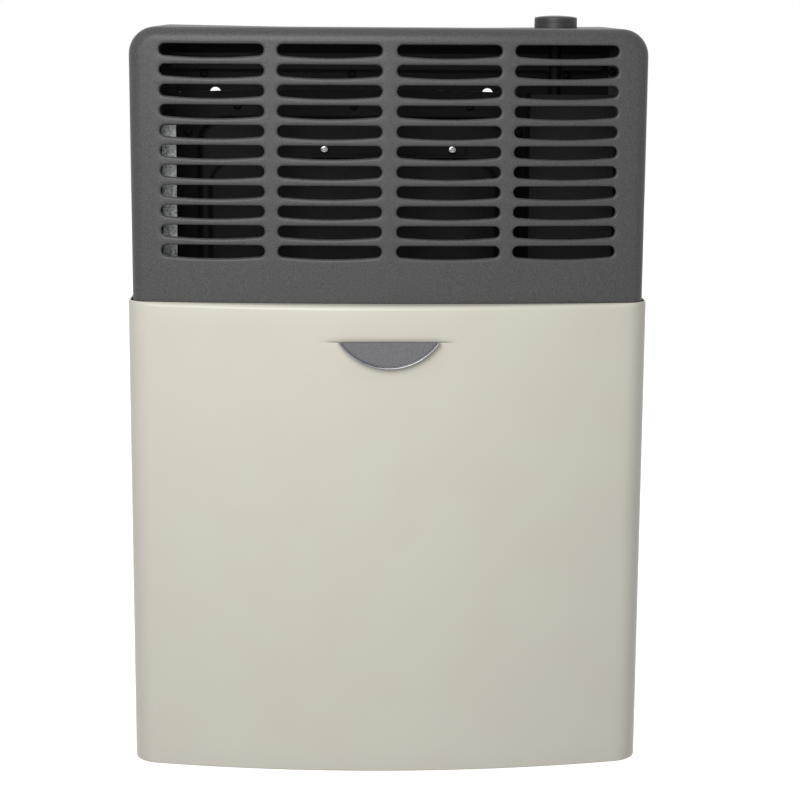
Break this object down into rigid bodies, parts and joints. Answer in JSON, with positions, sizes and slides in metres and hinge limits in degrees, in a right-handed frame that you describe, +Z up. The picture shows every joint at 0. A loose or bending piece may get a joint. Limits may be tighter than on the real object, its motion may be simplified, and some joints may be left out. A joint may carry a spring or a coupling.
{
  "type": "wall mounted gas heater",
  "caption": "Wall mounted room-sealed gas convector heater with a slotted dark upper casing, a bowed cream pull-off front panel, a half-moon finger pull and a control knob on top.",
  "frame": {"origin": "on the wall plane, the back face of the back plate, midway across the casing and level with the front panel's bottom edge", "axes": "+X to the right seen from the room, +Y into the wall, +Z up"},
  "size_m": [0.4374, 0.1965, 0.6404],
  "materials": {
    "galvanised_sheet": "zinc-coated sheet steel with a fine spangle",
    "dark_powder_coat": "dark grey powder coat with a fine texture",
    "cream_powder_coat": "smooth satin cream powder coat",
    "zinc_steel": "zinc-plated steel",
    "black_enamel": "black heat-resistant enamel, semi-matt",
    "black_sheet_paint": "satin black paint on sheet steel",
    "fibre_gasket": "woven fibre gasket, matt",
    "aluminised_steel": "aluminium-coated steel, satin",
    "brass_fitting": "machined brass",
    "bracket_steel": "plain heat-stained steel",
    "stainless_steel": "stainless steel, satin",
    "spring_steel": "spring wire, bright drawn",
    "copper_part": "drawn copper, slightly dulled",
    "white_ceramic": "white glazed ceramic",
    "sight_glass": "clear heat-resistant glass",
    "cast_aluminium": "die-cast aluminium, lightly blasted",
    "aluminium_tube": "drawn aluminium tube, satin",
    "lead_rubber": "silicone rubber sleeve, matt",
    "igniter_plastic": "black moulded plastic",
    "grey_shield_paint": "flat dark grey paint",
    "nylon_catch": "natural nylon",
    "dark_nickel": "brushed dark nickel",
    "bright_chrome": "bright chrome",
    "knob_plastic": "dark grey moulded plastic",
    "knob_cap_plastic": "dark grey moulded plastic, fine satin"
  },
  "bodies": {
    "heater": {"back_plate": "black_sheet_paint", "left_rail": "galvanised_sheet", "right_rail": "galvanised_sheet", "base_tray": "galvanised_sheet", "top_shelf": "black_sheet_paint", "chassis_screws": "zinc_steel", "grille_casing": "dark_powder_coat", "casing_screws": "zinc_steel", "rear_shell": "black_enamel", "front_shell": "black_enamel", "shell_gasket": "fibre_gasket", "shell_screws": "black_enamel", "shell_brace": "black_enamel", "brace_screws": "zinc_steel", "flue_collar": "aluminised_steel", "flue_flange": "aluminised_steel", "intake_collar": "aluminised_steel", "air_duct": "galvanised_sheet", "duct_face": "galvanised_sheet", "air_gasket": "fibre_gasket", "burner_tube": "aluminised_steel", "mixing_tube": "aluminised_steel", "injector": "brass_fitting", "injector_holder": "bracket_steel", "burner_saddles": "bracket_steel", "pilot_bracket": "bracket_steel", "pilot_burner": "stainless_steel", "thermocouple": "copper_part", "spark_electrode": "white_ceramic", "electrode_tip": "stainless_steel", "sight_glass": "sight_glass", "sight_gasket": "fibre_gasket", "sight_frame": "stainless_steel", "gas_valve": "cast_aluminium", "valve_bracket": "galvanised_sheet", "inlet_union": "brass_fitting", "inlet_pipe": "aluminium_tube", "burner_pipe": "aluminium_tube", "pilot_tube": "aluminium_tube", "thermocouple_lead": "copper_part", "ignition_lead": "lead_rubber", "igniter": "igniter_plastic", "return_spring": "spring_steel", "control_shield": "grey_shield_paint", "thermostat_bulb": "copper_part", "bulb_clips": "galvanised_sheet", "capillary": "copper_part", "panel_catches": "nylon_catch"},
    "panel": {"front_panel": "cream_powder_coat", "lower_stiffener": "galvanised_sheet", "upper_stiffener": "galvanised_sheet", "panel_studs": "zinc_steel", "pull_plate": "dark_nickel", "pull_rim": "bright_chrome"},
    "press": {"press_collar": "igniter_plastic"},
    "knob": {"spindle": "black_enamel", "control_knob": "knob_plastic", "knob_cap": "knob_cap_plastic"}
  },
  "joints": [
    {"name": "panel_pull", "type": "slide", "parent": "heater", "child": "panel", "axis": [0, -1, 0], "range_m": [0, 0.18]},
    {"name": "knob_press", "type": "slide", "parent": "heater", "child": "press", "axis": [0, 0, -1], "range_m": [0, 0.005], "stiffness_N_per_m": 400, "deforming": ["return_spring"]},
    {"name": "knob_turn", "type": "hinge", "parent": "press", "child": "knob", "pos_m": [0.1416, -0.105, 0.6], "axis": [0, 0, -1], "range_deg": [0, 270]}
  ]
}
